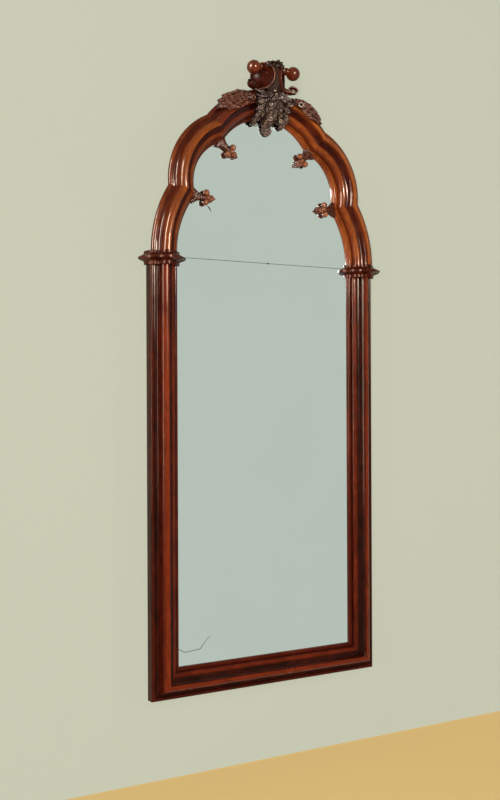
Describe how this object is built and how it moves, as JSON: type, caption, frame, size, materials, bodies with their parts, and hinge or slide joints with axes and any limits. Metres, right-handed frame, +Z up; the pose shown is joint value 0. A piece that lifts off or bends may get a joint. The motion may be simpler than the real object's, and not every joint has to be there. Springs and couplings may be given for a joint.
{
  "type": "pier mirror",
  "caption": "Tall wall-hung pier mirror: a cusped Gothic arch of deep mahogany mouldings on a pine ground frame, with shaft rings, carved leaves, a scrolled crest and mirror plates.",
  "frame": {"origin": "on the wall plane, midway between the two hanger holes behind the stiles", "axes": "+Z up, -Y from the wall into the room through the mirror's face, +X to the right as the mirror is faced"},
  "size_m": [0.928, 0.1146, 2.0806],
  "materials": {
    "polished_mahogany": "French-polished, glossy",
    "carved_mahogany": "carved, old polish, satin",
    "mirror_plate": "polished silvered glass",
    "pine": "bare, sawn and planed",
    "iron_fittings": "black, satin"
  },
  "bodies": {
    "root": {"stile_moulding_left": "polished_mahogany", "stile_moulding_right": "polished_mahogany", "bottom_rail_moulding": "polished_mahogany", "lower_foil_left": "polished_mahogany", "lower_foil_right": "polished_mahogany", "middle_foil_left": "polished_mahogany", "middle_foil_right": "polished_mahogany", "crown_foil_left": "polished_mahogany", "crown_foil_right": "polished_mahogany", "shaft_ring_left": "polished_mahogany", "shaft_ring_right": "polished_mahogany", "cusp_leaf_lower_left": "carved_mahogany", "cusp_leaf_lower_right": "carved_mahogany", "cusp_leaf_upper_left": "carved_mahogany", "cusp_leaf_upper_right": "carved_mahogany", "apex_leaf": "carved_mahogany", "apex_side_leaf_left": "carved_mahogany", "apex_side_leaf_right": "carved_mahogany", "shoulder_leaf_left": "carved_mahogany", "shoulder_leaf_right": "carved_mahogany", "crest_body": "carved_mahogany", "crest_volute_left": "carved_mahogany", "crest_volute_right": "carved_mahogany", "crest_curl_left": "carved_mahogany", "crest_curl_right": "carved_mahogany", "stile_core_left": "pine", "stile_core_right": "pine", "bottom_rail_core": "pine", "lower_arch_core_left": "pine", "lower_arch_core_right": "pine", "middle_arch_core_left": "pine", "middle_arch_core_right": "pine", "crown_core": "pine", "side_facing_left": "polished_mahogany", "side_facing_right": "polished_mahogany", "bottom_facing": "polished_mahogany", "lower_plate": "mirror_plate", "upper_plate": "mirror_plate", "lower_backboard": "pine", "upper_backboard": "pine", "joint_batten": "pine", "glazing_slips": "pine", "backboard_pins": "iron_fittings", "core_dowels": "pine", "hanger_plate_left": "iron_fittings", "hanger_plate_right": "iron_fittings", "hanger_screws": "iron_fittings", "crest_strap": "iron_fittings", "strap_screws": "iron_fittings"}
  },
  "joints": []
}
